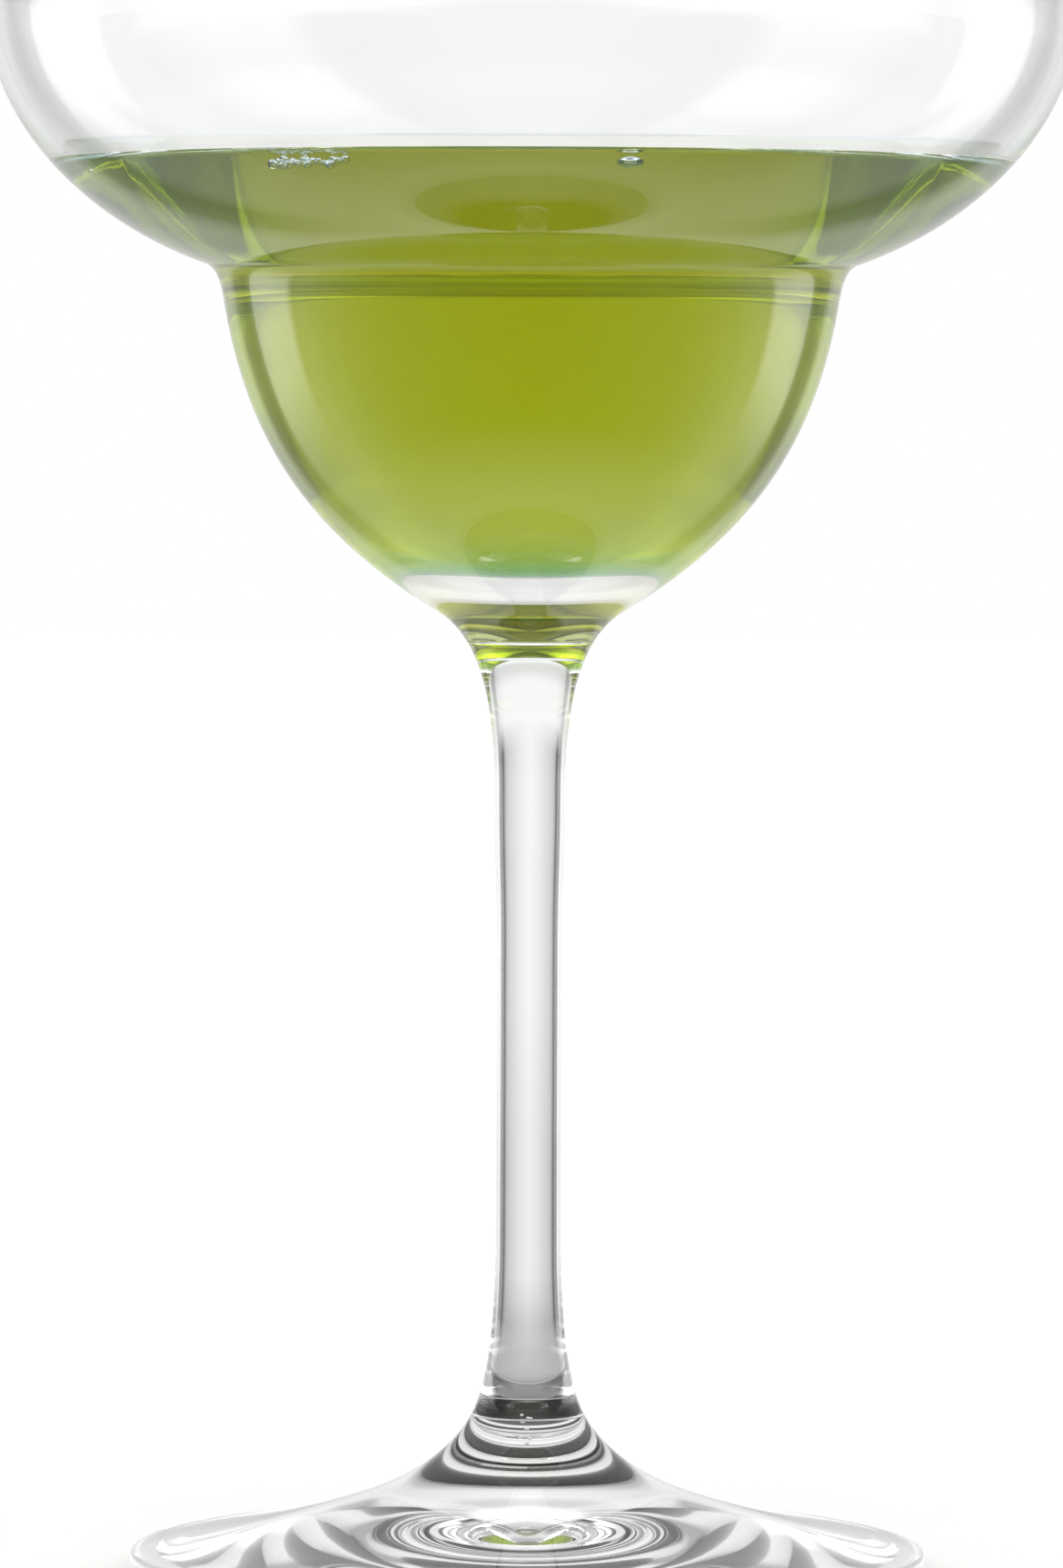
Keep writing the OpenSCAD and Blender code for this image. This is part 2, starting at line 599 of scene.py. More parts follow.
@dataclass(frozen=True)
class Drink:
    """Yellow-green drink with a little haze: thin layers look green and deep ones yellow.

    The tint is the green of a thin layer, the floor's tint the deeper green over the cup's thick
    floor, and the absorption adds the yellow of a deep one. The level top stays clear.
    """

    name: str
    level_z: float
    floor_z: float
    ior: float = 1.0
    tint: Colour = (0.49, 0.645, 0.9)
    floor_tint: Colour = (0.24, 0.57, 0.5)
    colour: Colour = (0.953, 0.93, 0.0)
    density: float = 95.0
    haze: float = 8.0
    haze_colour: Colour = (0.9, 1.0, 0.9)
    haze_ahead: float = 0.4
    floor_share: float = 0.02
    wall_share: float = 0.07
    top_share: float = 0.999
    top_blend: float = 0.0004

    def material(self) -> bpy.types.Material:
        """The drink as a material.

        Returns:
            The material, with a surface and an inside.
        """
        mat, tree = new_finish(self.name)
        shader = tree.nodes["Principled BSDF"]
        set_inputs(shader, {"Roughness": 0.0, "IOR": self.ior, "Transmission Weight": 1.0})
        tree.links.new(self._by_height(tree), shader.inputs["Base Color"])
        tree.links.new(self._inside(tree), tree.nodes["Material Output"].inputs["Volume"])
        return mat

    def _inside(self, tree: bpy.types.NodeTree) -> bpy.types.NodeSocket:
        """The inside of the drink: it takes light away and scatters a little.

        Args:
            tree: the material's node tree.

        Returns:
            The socket with both.
        """
        yellow = tree.nodes.new("ShaderNodeVolumeAbsorption")
        set_inputs(yellow, {"Color": (*self.colour, 1), "Density": self.density})
        murk = tree.nodes.new("ShaderNodeVolumeScatter")
        values = {
            "Color": (*self.haze_colour, 1),
            "Density": self.haze,
            "Anisotropy": self.haze_ahead,
        }
        set_inputs(murk, values)
        both = tree.nodes.new("ShaderNodeAddShader")
        tree.links.new(yellow.outputs[0], both.inputs[0])
        tree.links.new(murk.outputs[0], both.inputs[1])
        return both.outputs[0]

    def _by_height(self, tree: bpy.types.NodeTree) -> bpy.types.NodeSocket:
        """The tint by height: deeper at the floor, none at the level top.

        Args:
            tree: the material's node tree.

        Returns:
            The socket with the colour.
        """
        sums = NodeSums(tree)
        place = tree.nodes.new("ShaderNodeSeparateXYZ")
        tree.links.new(tree.nodes.new("ShaderNodeTexCoord").outputs["Object"], place.inputs[0])
        low, high = self.floor_z * MM, self.level_z * MM
        share = sums.sum("DIVIDE", sums.sum("SUBTRACT", place.outputs["Z"], low), high - low)
        stops = [
            (0.0, self.floor_tint),
            (self.floor_share, self.floor_tint),
            (self.wall_share, self.tint),
            (self.top_share - self.top_blend, self.tint),
            (self.top_share, WHITE),
        ]
        return sums.ramp(share, stops)


@dataclass
class Lathe:
    """Turns outlines about the Z axis with a geometry node tree."""

    segments: int = 192
    tree: bpy.types.NodeTree = field(init=False)

    def __post_init__(self) -> None:
        """Builds the node tree once."""
        self.tree = self._make_tree()

    def _make_tree(self) -> bpy.types.NodeTree:
        """The tree: a grid whose rows follow the outline and whose columns go round.

        Returns:
            The node tree, with named inputs for its sizes and materials.
        """
        inputs = {"Outline": "Geometry", "Segments": "Int", "Weld": "Float"}
        inputs.update({band.label: "Material" for band in Band})
        tree, source, sink = shape_tree("turned_outline", inputs, "Solid")
        new, link = tree.nodes.new, tree.links.new
        grid, row, turn = self._grid(tree, source)
        keep = new("GeometryNodeStoreNamedAttribute")
        keep.data_type, keep.domain = "FLOAT", "POINT"
        keep.inputs["Name"].default_value = "row"
        link(grid, keep.inputs["Geometry"])
        link(row, keep.inputs["Value"])
        move = new("GeometryNodeSetPosition")
        link(keep.outputs["Geometry"], move.inputs["Geometry"])
        link(self._place(tree, source, row, turn), move.inputs["Position"])
        fused = new("GeometryNodeMergeByDistance")
        link(move.outputs[0], fused.inputs["Geometry"])
        link(source.outputs["Weld"], fused.inputs["Distance"])
        smooth = new("GeometryNodeSetShadeSmooth")
        link(fused.outputs[0], smooth.inputs[0])
        real = new("GeometryNodeRealizeInstances")
        link(smooth.outputs[0], real.inputs[0])
        link(self._painted(tree, source, real.outputs[0]), sink.inputs[0])
        return tree

    def _grid(
        self, tree: bpy.types.NodeTree, source: bpy.types.Node
    ) -> tuple[bpy.types.NodeSocket, bpy.types.NodeSocket, bpy.types.NodeSocket]:
        """A flat grid with a row for each point of the outline.

        Args:
            tree: the tree.
            source: the node that gives its inputs.

        Returns:
            The grid, and the number of the row and the angle of the column of each of its points.
        """
        new, link = tree.nodes.new, tree.links.new
        sums = NodeSums(tree)
        count = new("GeometryNodeAttributeDomainSize")
        link(source.outputs["Outline"], count.inputs[0])
        rows = count.outputs["Point Count"]
        grid = new("GeometryNodeMeshGrid")
        link(sums.sum("ADD", source.outputs["Segments"], 1), grid.inputs["Vertices X"])
        link(rows, grid.inputs["Vertices Y"])
        index = new("GeometryNodeInputIndex").outputs[0]
        row = sums.sum("MODULO", index, rows)
        column = sums.sum("FLOOR", sums.sum("DIVIDE", sums.sum("ADD", index, HALF), rows))
        turn = sums.sum("MULTIPLY", sums.sum("DIVIDE", column, source.outputs["Segments"]), math.tau)
        return grid.outputs["Mesh"], row, turn

    def _place(
        self,
        tree: bpy.types.NodeTree,
        source: bpy.types.Node,
        row: bpy.types.NodeSocket,
        turn: bpy.types.NodeSocket,
    ) -> bpy.types.NodeSocket:
        """Where a point of the grid goes.

        Args:
            tree: the tree.
            source: the node that gives its inputs.
            row: number of the point's row.
            turn: angle of its column.

        Returns:
            The socket with the place on the turned outline.
        """
        new, link = tree.nodes.new, tree.links.new
        sums = NodeSums(tree)
        sample = new("GeometryNodeSampleIndex")
        sample.data_type = "FLOAT_VECTOR"
        link(source.outputs["Outline"], sample.inputs["Geometry"])
        link(new("GeometryNodeInputPosition").outputs[0], sample.inputs["Value"])
        link(row, sample.inputs["Index"])
        split = new("ShaderNodeSeparateXYZ")
        link(sample.outputs[0], split.inputs[0])
        join = new("ShaderNodeCombineXYZ")
        link(sums.sum("MULTIPLY", split.outputs["X"], sums.sum("COSINE", turn)), join.inputs["X"])
        link(sums.sum("MULTIPLY", split.outputs["X"], sums.sum("SINE", turn)), join.inputs["Y"])
        link(split.outputs["Z"], join.inputs["Z"])
        return join.outputs[0]

    def _painted(
        self, tree: bpy.types.NodeTree, source: bpy.types.Node, shape: bpy.types.NodeSocket
    ) -> bpy.types.NodeSocket:
        """The turned shape with the material of each band.

        Args:
            tree: the tree.
            source: the node that gives its inputs.
            shape: the turned shape.

        Returns:
            The socket with the finished shape.
        """
        new, link = tree.nodes.new, tree.links.new
        sums = NodeSums(tree)
        row = new("GeometryNodeInputNamedAttribute")
        row.data_type = "FLOAT"
        row.inputs["Name"].default_value = "row"
        number = new("GeometryNodeInputNamedAttribute")
        number.data_type = "INT"
        number.inputs["Name"].default_value = "band"
        of_row = new("GeometryNodeSampleIndex")
        of_row.data_type, of_row.domain = "INT", "POINT"
        link(source.outputs["Outline"], of_row.inputs["Geometry"])
        link(number.outputs["Attribute"], of_row.inputs["Value"])
        link(sums.sum("FLOOR", row.outputs["Attribute"]), of_row.inputs["Index"])
        for band in Band:
            paint = new("GeometryNodeSetMaterial")
            link(shape, paint.inputs["Geometry"])
            link(sums.sum("COMPARE", of_row.outputs[0], band.value, HALF), paint.inputs["Selection"])
            link(source.outputs[band.label], paint.inputs["Material"])
            shape = paint.outputs[0]
        return shape

    def turn(
        self, name: str, outline: list[tuple[Point, Band]], finishes: dict[Band, bpy.types.Material]
    ) -> bpy.types.Object:
        """Turns an outline into a closed piece.

        Args:
            name: name of the piece.
            outline: points in millimetres from axis to axis, each with the band of the
                stretch that starts there.
            finishes: the material of each band.

        Returns:
            The piece, a plain mesh at the origin, its faces outwards.
        """
        line = line_mesh(name + "_outline", [(r, 0.0, z) for (r, z), _ in outline])
        bands = line.attributes.new("band", "INT", "POINT")
        for i, (_, band) in enumerate(outline):
            bands.data[i].value = band.value
        plain = finishes[Band.GLASS]
        values = {"Segments": self.segments, "Weld": WELD}
        values.update({band.label: finishes.get(band, plain) for band in Band})
        solid = grown(name, line, self.tree, values)
        if signed_volume(solid) < 0:
            solid.flip_normals()
        return placed(name, solid)


def signed_volume(mesh: bpy.types.Mesh) -> float:
    """Volume of a closed mesh.

    Args:
        mesh: the mesh.

    Returns:
        The volume inside it, negative if its faces point inwards.
    """
    mesh.calc_loop_triangles()
    total = 0.0
    at = mesh.vertices
    for tri in mesh.loop_triangles:
        a, b, c = (at[i].co for i in tri.vertices)
        total += a.dot(b.cross(c))
    return total / 6


def banded(*parts: tuple[Outline, Band]) -> list[tuple[Point, Band]]:
    """Joins outlines end to end.

    Args:
        parts: the outlines, each with its band; each starts where the last one ends.

    Returns:
        All points, shared ends once, each with the band of the stretch that starts there.
    """
    joined: list[tuple[Point, Band]] = []
    for outline, band in parts:
        if joined:
            joined[-1] = (joined[-1][0], band)
            outline = outline[1:]
        joined += [(p, band) for p in outline]
    return joined


@dataclass
class Glassware:
    """The bowl, the stem and the foot, fused hot into one vessel."""

    shape: Shape
    lathe: Lathe
    clear: bpy.types.Material
    wet: bpy.types.Material
    seam: bpy.types.Material

    def bowl(self) -> bpy.types.Object:
        """Bowl from the middle of its floor over the lip to the stem's seat.

        Returns:
            The piece.
        """
        s = self.shape
        mid, _, _ = s.lip()
        inner = s.inner_wall()
        brink = s.level_z + s.climb_h
        lip = []
        for i in range(LIP_STEPS + 1):
            a = math.pi * i / LIP_STEPS - math.radians(s.rim_lean)
            lip.append((mid.x - math.cos(a) * s.lip_t / 2, mid.y + math.sin(a) * s.lip_t / 2))
        outline = banded(
            (below(inner, brink)[::-1], Band.WET),
            (above(inner, brink)[::-1], Band.GLASS),
            (lip, Band.GLASS),
            (above(s.outer_wall(), s.upper_seat_z), Band.GLASS),
            (s.upper_seat(), Band.SEAM),
        )
        return self._dress("glass_bowl", outline, "bowl")

    def stem(self) -> bpy.types.Object:
        """Stem between its two seats.

        Returns:
            The piece.
        """
        s = self.shape
        outline = banded(
            (s.upper_seat()[::-1], Band.SEAM),
            (below(s.outer_wall(), s.upper_seat_z) + s.stem_wall(), Band.GLASS),
            (s.lower_seat(), Band.SEAM),
        )
        return self._dress("glass_stem", outline, "stem")

    def foot(self) -> bpy.types.Object:
        """Foot from its seat over the edge to the middle of the underside.

        Returns:
            The piece.
        """
        s = self.shape
        outline = banded(
            (s.lower_seat()[::-1], Band.SEAM),
            ([(s.collar_d / 2, s.foot_h)] + s.foot_wall(), Band.GLASS),
        )
        return self._dress("glass_foot", outline, "foot")

    def _dress(self, name: str, outline: list[tuple[Point, Band]], node: str) -> bpy.types.Object:
        """Turns one piece, gives it its finish and puts it in place of its solid.

        Args:
            name: name of the piece.
            outline: its points and bands.
            node: the solid that it replaces.

        Returns:
            The piece.
        """
        finishes = {Band.GLASS: self.clear, Band.SEAM: self.seam, Band.WET: self.wet}
        piece = self.lathe.turn(name, outline, finishes)
        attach(piece, "root")
        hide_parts(node)
        return piece


@dataclass
class Filling:
    """The drink: its body and the skin where it meets the air."""

    shape: Shape
    lathe: Lathe
    body_finish: bpy.types.Material
    skin_finish: bpy.types.Material
    gap: float = 0.02

    def body(self) -> bpy.types.Object:
        """Body of the drink, a hair inside the bowl's wall.

        Returns:
            The piece.
        """
        s = self.shape
        wall = below(s.inner_wall(), s.level_z + s.climb_h)
        climb = s.climb()
        inset = []
        for i, (r, z) in enumerate(wall):
            a = Vector(wall[max(i - 1, 0)])
            b = Vector(wall[min(i + 1, len(wall) - 1)])
            along = (b - a).normalized()
            side = Vector((along.y, -along.x))
            inset.append((max(r + side.x * self.gap, 0.0), z + side.y * self.gap))
        inset[-1] = (0.0, wall[-1][1] + self.gap)
        top = [(r - self.gap, z - self.gap) for r, z in climb[::-1]]
        outline = banded(([(0.0, s.level_z - self.gap)] + top, Band.GLASS), (inset, Band.GLASS))
        piece = self.lathe.turn("drink_body", outline, {Band.GLASS: self.body_finish})
        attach(piece, "root")
        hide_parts("drink")
        return piece

    def skin(self) -> bpy.types.Object:
        """Surface of the drink, level in the middle and climbing the glass at its edge.

        Returns:
            The piece.
        """
        s = self.shape
        climb = s.climb()
        edge = (climb[0][0] + self.gap, climb[0][1])
        outline = banded(([(0.0, s.level_z)] + climb[:0:-1] + [edge], Band.GLASS))
        piece = self.lathe.turn("drink_surface", outline, {Band.GLASS: self.skin_finish})
        if piece.data.polygons[0].normal.z < 0:
            piece.data.flip_normals()
        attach(piece, "root")
        return piece


@dataclass(frozen=True)
class TrappedAir:
    """Air held in glass or drink; around is the refractive index of what holds it."""

    name: str
    around: float

    def material(self) -> bpy.types.Material:
        """The air as a material.

        Returns:
            The material.
        """
        mat, tree = new_finish(self.name)
        tree.nodes.remove(tree.nodes["Principled BSDF"])
        clear = tree.nodes.new("ShaderNodeBsdfGlass")
        set_inputs(clear, {"Color": (*WHITE, 1), "Roughness": 0.0, "IOR": 1 / self.around})
        tree.links.new(clear.outputs[0], tree.nodes["Material Output"].inputs["Surface"])
        return mat


@dataclass
class BubbleRow:
    """Bubbles strewn along a line by a geometry node tree; sizes in millimetres."""

    name: str
    slot: str
    line: list[Place]
    count: int
    smallest: float
    largest: float
    spread: float
    flat: float = 1.0
    seed: int = 4
    roundness: int = 4

    def _tree(self) -> bpy.types.NodeTree:
        """The tree: points along the line, moved a little, each with a ball of its own size.

        Returns:
            The node tree, with named inputs for its sizes and the material.
        """
        inputs = {"Line": "Geometry", "Count": "Int", "Seed": "Int"}
        inputs.update({name: "Float" for name in ("Smallest", "Largest", "Spread", "Flat")})
        inputs["Finish"] = "Material"
        tree, source, sink = shape_tree("strewn_bubbles", inputs, "Bubbles")
        new, link = tree.nodes.new, tree.links.new
        thread = new("GeometryNodeMeshToCurve")
        link(source.outputs["Line"], thread.inputs["Mesh"])
        points = new("GeometryNodeCurveToPoints")
        points.mode = "COUNT"
        link(thread.outputs[0], points.inputs["Curve"])
        link(source.outputs["Count"], points.inputs["Count"])
        moved = new("GeometryNodeSetPosition")
        link(points.outputs["Points"], moved.inputs["Geometry"])
        link(self._nudge(tree, source), moved.inputs["Offset"])
        ball = new("GeometryNodeMeshIcoSphere")
        set_inputs(ball, {"Radius": 1.0, "Subdivisions": self.roundness})
        strewn = new("GeometryNodeInstanceOnPoints")
        link(moved.outputs[0], strewn.inputs["Points"])
        link(ball.outputs[0], strewn.inputs["Instance"])
        link(self._size(tree, source), strewn.inputs["Scale"])
        real = new("GeometryNodeRealizeInstances")
        link(strewn.outputs[0], real.inputs[0])
        smooth = new("GeometryNodeSetShadeSmooth")
        link(real.outputs[0], smooth.inputs[0])
        paint = new("GeometryNodeSetMaterial")
        link(smooth.outputs[0], paint.inputs["Geometry"])
        link(source.outputs["Finish"], paint.inputs["Material"])
        link(paint.outputs[0], sink.inputs[0])
        return tree

    def _nudge(self, tree: bpy.types.NodeTree, source: bpy.types.Node) -> bpy.types.NodeSocket:
        """How far each point moves, at random and up to the spread along each axis.

        Args:
            tree: the tree.
            source: the node that gives its inputs.

        Returns:
            The socket with the move.
        """
        new, link = tree.nodes.new, tree.links.new
        spread = source.outputs["Spread"]
        drawn = new("FunctionNodeRandomValue")
        drawn.data_type = "FLOAT_VECTOR"
        for end, reach in (("Min", NodeSums(tree).sum("MULTIPLY", spread, -1.0)), ("Max", spread)):
            corner = new("ShaderNodeCombineXYZ")
            for axis in "XYZ":
                link(reach, corner.inputs[axis])
            link(corner.outputs[0], drawn.inputs[end])
        link(source.outputs["Seed"], drawn.inputs["Seed"])
        return drawn.outputs["Value"]

    def _size(self, tree: bpy.types.NodeTree, source: bpy.types.Node) -> bpy.types.NodeSocket:
        """The size of each bubble, at random between the smallest and the largest.

        Args:
            tree: the tree.
            source: the node that gives its inputs.

        Returns:
            The socket with the radius along each axis.
        """
        new, link = tree.nodes.new, tree.links.new
        sums = NodeSums(tree)
        drawn = new("FunctionNodeRandomValue")
        drawn.data_type = "FLOAT"
        least, most = (s for s in drawn.inputs if s.enabled and s.type == "VALUE")
        radius = next(s for s in drawn.outputs if s.enabled)
        link(source.outputs["Smallest"], least)
        link(source.outputs["Largest"], most)
        link(sums.sum("ADD", source.outputs["Seed"], 1.0), drawn.inputs["Seed"])
        scale = new("ShaderNodeCombineXYZ")
        link(radius, scale.inputs["X"])
        link(radius, scale.inputs["Y"])
        link(sums.sum("MULTIPLY", radius, source.outputs["Flat"]), scale.inputs["Z"])
        return scale.outputs[0]

    def piece(self, finish: bpy.types.Material) -> bpy.types.Object:
        """Strews the bubbles.

        Args:
            finish: what they are made of.

        Returns:
            All bubbles of the row as one plain mesh at the origin.
        """
        values = {
            "Count": self.count,
            "Seed": self.seed,
            "Smallest": self.smallest * MM,
            "Largest": self.largest * MM,
            "Spread": self.spread * MM,
            "Flat": self.flat,
            "Finish": finish,
        }
        line = line_mesh(self.name + "_line", self.line)
        piece = placed(self.name, grown(self.name, line, self._tree(), values))
        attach(piece, "root")
        return piece


@dataclass
class Bubbles:
    """The bubbles: froth at the drink's front edge and seeds in the glass above the foot."""

    shape: Shape
    froth_depth: float = 0.85
    froth_inset: float = 1.35
    froth_across: tuple[float, ...] = (-25.6, -23.2, -21.0, -18.8)
    tiny_across: tuple[float, ...] = (-44.3, -44.2)
    lone_inset: float = 1.75
    lone_across: tuple[float, ...] = (9.6, 9.7)
    seed_depths: tuple[float, ...] = (4.2, 2.6, 0.6)
    seed_across: tuple[float, ...] = (-0.3, 0.2, -0.1)
    seed_front: float = -1.2

    def _edge(self, across: float, inset: float) -> Place:
        """A place under the drink's front edge.

        Args:
            across: how far to the right.
            inset: how far in from the wall.

        Returns:
            The place in millimetres.
        """
        s = self.shape
        z = s.level_z - self.froth_depth
        reach = cut_point(s.inner_wall(), z)[0] - inset
        return across, -math.sqrt(reach**2 - across**2), z

    def rows(self) -> list[BubbleRow]:
        """The rows of bubbles.

        Returns:
            The rows in the drink, then the one in the glass.
        """
        froth = [self._edge(x, self.froth_inset) for x in self.froth_across]
        lone = [self._edge(x, self.lone_inset) for x in self.lone_across]
        tiny = [self._edge(x, self.froth_inset) for x in self.tiny_across]
        top = self.shape.foot_h
        places = zip(self.seed_across, self.seed_depths)
        chain = [(across, self.seed_front, top - depth) for across, depth in places]
        return [
            BubbleRow(
                "froth_bubbles", "drink", froth, count=30, smallest=0.2, largest=0.58, spread=0.4
            ),
            BubbleRow(
                "lone_bubble", "drink", lone, count=2, smallest=1.3, largest=1.35, spread=0.0, flat=0.5
            ),
            BubbleRow("tiny_bubble", "drink", tiny, count=2, smallest=0.3, largest=0.35, spread=0.0),
            BubbleRow(
                "seed_bubbles", "glass", chain, count=12, smallest=0.08, largest=0.26, spread=0.5, seed=9
            ),
        ]

    def pieces(
        self, in_drink: bpy.types.Material, in_glass: bpy.types.Material
    ) -> list[bpy.types.Object]:
        """All bubbles as pieces.

        Args:
            in_drink: the air of a bubble in the drink.
            in_glass: the air of a bubble in the glass.

        Returns:
            One piece for each row.
        """
        return [row.piece(in_drink if row.slot == "drink" else in_glass) for row in self.rows()]


@dataclass(frozen=True)
class Surround:
    """How bright the studio is, by the angle from straight behind the glass and by height.

    There is a white backdrop, a dark strip at each side low down, and soft boxes beside the
    table and in front of it. Light that comes through the glass (seen) and light that its
    outside mirrors (mirrored) have levels of their own, which a real room doesn't give them.
    Angles are in degrees and places in metres. To the glass the floor glows by place, with a painted shadow
    under the foot and painted light around it.
    """

    seen_low: Stops = (
        (0, 0.98), (12, 0.87), (18, 0.77), (25, 0.68), (31, 0.56), (34, 0.4), (37, 0.08), (49, 0.04),
        (52, 0.5), (56, 1.0), (86, 1.0), (104, 4.4), (128, 4.4), (142, 3.0), (158, 1.5), (170, 1.0),
        (180, 0.98),
    )
    seen_middle: Stops = (
        (0, 1.02), (20, 1.0), (28, 0.98), (34, 0.9), (40, 0.8), (43, 0.42), (51, 0.38), (56, 0.9), (62, 1.0),
        (80, 1.0), (104, 3.0), (122, 3.0), (131, 0.6), (138, 0.3), (150, 0.3), (162, 0.6), (180, 0.6),
    )
    seen_up: Stops = (
        (-4, 1.0), (17, 1.0), (24, 0.8), (30, 0.8), (38, 1.25), (50, 1.35), (55, 1.1), (60, 0.75),
        (66, 0.6), (72, 0.3), (90, 0.2),
    )
    # painted shadow on the floor under the foot, for rays through the glass: dark in the middle, lighter
    # outwards
    painted_shadow_near: Stops = (
        (0.024, 0.0), (0.03, 0.3), (0.035, 0.45), (0.045, 0.5), (0.06, 0.56), (0.11, 0.66), (0.15, 0.8),
        (0.21, 0.92), (0.5, 0.92), (0.85, 1.0),
    )
    # the painted shadow is lighter towards the front
    seen_front: Stops = ((100, 0.0), (150, 0.25))
    # how far behind the axis the middle of the painted shadow lies
    painted_shadow_y: float = 0.018
    mirrored_low: Stops = (
        (0, 0.75), (20, 0.8), (28, 1.0), (33, 0.85), (37, 0.5), (46, 0.4), (50, 0.7), (55, 1.0), (64, 1.1),
        (85, 1.3), (100, 0.8), (120, 0.35), (150, 0.15), (180, 0.05),
    )
    mirrored_middle: Stops = (
        (0, 0.9), (12, 0.9), (20, 0.4), (32, 0.25), (45, 0.5), (60, 0.55), (80, 0.35), (105, 0.45),
        (125, 0.7), (150, 1.0), (180, 1.1),
    )
    mirrored_high: Stops = ((0, 0.05), (30, 0.1), (45, 0.35), (60, 0.6), (90, 0.55), (120, 0.85), (150, 1.3))
    # painted light on the floor near the foot, for mirrored rays
    painted_mirrored_light_near: Stops = ((0.03, 0.4), (0.042, 0.9), (0.052, 1.3), (0.066, 1.2), (0.085, 1.2), (0.11, 1.2))
    box_aside: Stops = ((50, 0.0), (52, 0.5), (64, 0.85), (76, 1.0), (80, 0.0))
    box_up: Stops = ((-4, 2.4), (0, 2.4), (6, 0.0))
    # painted light of the soft boxes on the floor, by distance from the axis
    painted_box_light_near: Stops = ((0.2, 0.0), (0.28, 1.0), (0.4, 2.2), (0.6, 2.6))
    # beyond this reach the floor glows with the studio's levels by direction: painted light and shade
    reach: Stops = ((0.05, 0.0), (0.12, 1.0))
    # painted light far out on the floor, brighter than white
    painted_light_reach: Stops = ((0.5, 1.0), (1.0, 4.4))
    mirrored_reach: Stops = ((0.055, 0.0), (0.14, 1.0))
    middle_rise: Stops = ((2, 0.0), (7, 1.0))
    high_rise: Stops = ((28, 0.0), (50, 1.0))
    floor_grey: Colour = (0.8, 0.8, 0.8)
    floor_roughness: float = 0.9
    floor_glow: float = 0.27

    def _angles(self, sums: NodeSums, way: bpy.types.NodeSocket) -> tuple[bpy.types.NodeSocket, ...]:
        """Takes a direction or a place on the floor apart.

        Args:
            sums: the sums of the tree it stands in.
            way: the direction or place.

        Returns:
            The angle from straight behind, 0 to 180, the angle above level, and X and Y.
        """
        parts = sums.tree.nodes.new("ShaderNodeSeparateXYZ")
        sums.tree.links.new(way, parts.inputs[0])
        turn = sums.sum("DEGREES", sums.sum("ARCTAN2", parts.outputs["X"], parts.outputs["Y"]))
        rise = sums.sum("DEGREES", sums.sum("ARCSINE", parts.outputs["Z"]))
        return sums.sum("ABSOLUTE", turn), rise, parts.outputs["X"], parts.outputs["Y"]

    def _shown(
        self, sums: NodeSums, seen: bpy.types.NodeSocket, mirrored: bpy.types.NodeSocket
    ) -> bpy.types.NodeSocket:
        """The level that a ray meets, by the way it left the glass.

        Args:
            sums: the sums of the tree it stands in.
            seen: the level for light that came through.
            mirrored: the level for light that was mirrored.

        Returns:
            The socket with the level.
        """
        path = sums.tree.nodes.new("ShaderNodeLightPath")
        return sums.blend(mirrored, seen, path.outputs["Is Transmission Ray"])

    def _plain(self, sums: NodeSums) -> bpy.types.NodeSocket:
        """One for rays of the camera and of matt surfaces, else zero."""
        path = sums.tree.nodes.new("ShaderNodeLightPath")
        return sums.sum("MAXIMUM", path.outputs["Is Camera Ray"], path.outputs["Is Diffuse Ray"])

    def light(self, tree: bpy.types.NodeTree) -> None:
        """Builds the world: white to the camera and to matt surfaces, the studio to the glass.

        Args:
            tree: the world's node tree.
        """
        tree.nodes.clear()
        sums = NodeSums(tree)
        glow = tree.nodes.new("ShaderNodeBackground")
        glow.inputs["Color"].default_value = (*WHITE, 1)
        strength = sums.blend(self._room_level(sums), 1.0, self._plain(sums))
        tree.links.new(strength, glow.inputs["Strength"])
        out = tree.nodes.new("ShaderNodeOutputWorld")
        tree.links.new(glow.outputs[0], out.inputs["Surface"])

    def _room_level(self, sums: NodeSums) -> bpy.types.NodeSocket:
        """Level of the studio above the floor for light from the glass.

        Args:
            sums: the sums of the world's tree.

        Returns:
            The socket with the level, by direction.
        """
        way = sums.tree.nodes.new("ShaderNodeTexCoord").outputs["Generated"]
        aside, rise, _, _ = self._angles(sums, way)
        middle = sums.graph(rise, self.middle_rise)
        high = sums.graph(rise, self.high_rise)
        seen_low, seen_middle = sums.graph(aside, self.seen_low), sums.graph(aside, self.seen_middle)
        seen = sums.blend(seen_low, seen_middle, middle)
        seen = sums.sum("MULTIPLY", seen, sums.graph(rise, self.seen_up))
        room_low = sums.graph(aside, self.mirrored_low)
        room_middle = sums.graph(aside, self.mirrored_middle)
        room = sums.blend(room_low, room_middle, middle)
        room = sums.blend(room, sums.graph(aside, self.mirrored_high), high)
        boxes = sums.sum("MULTIPLY", sums.graph(aside, self.box_aside), sums.graph(rise, self.box_up))
        return self._shown(sums, seen, sums.sum("ADD", room, boxes))

    def floor_finish(self) -> bpy.types.Material:
        """The floor: matt white to the camera, and to the glass a glow painted by place, with a painted
        shadow under the foot and painted light around it.

        Returns:
            The material.
        """
        mat, tree = new_finish("pale_floor")
        sums = NodeSums(tree)
        matt = tree.nodes["Principled BSDF"]
        values = {
            "Base Color": (*self.floor_grey, 1),
            "Roughness": self.floor_roughness,
            "Specular IOR Level": 0.0,
            "Emission Color": (*WHITE, 1),
            "Emission Strength": self.floor_glow,
        }
        set_inputs(matt, values)
        # painted glow for rays from the glass: painted shadow under the foot and painted light around it, by
        # place
        glow = tree.nodes.new("ShaderNodeEmission")
        glow.inputs["Color"].default_value = (*WHITE, 1)
        tree.links.new(self._painted_floor_glow(sums), glow.inputs["Strength"])
        pick = tree.nodes.new("ShaderNodeMixShader")
        tree.links.new(self._plain(sums), pick.inputs[0])
        tree.links.new(glow.outputs[0], pick.inputs[1])
        tree.links.new(matt.outputs[0], pick.inputs[2])
        tree.links.new(pick.outputs[0], tree.nodes["Material Output"].inputs["Surface"])
        return mat

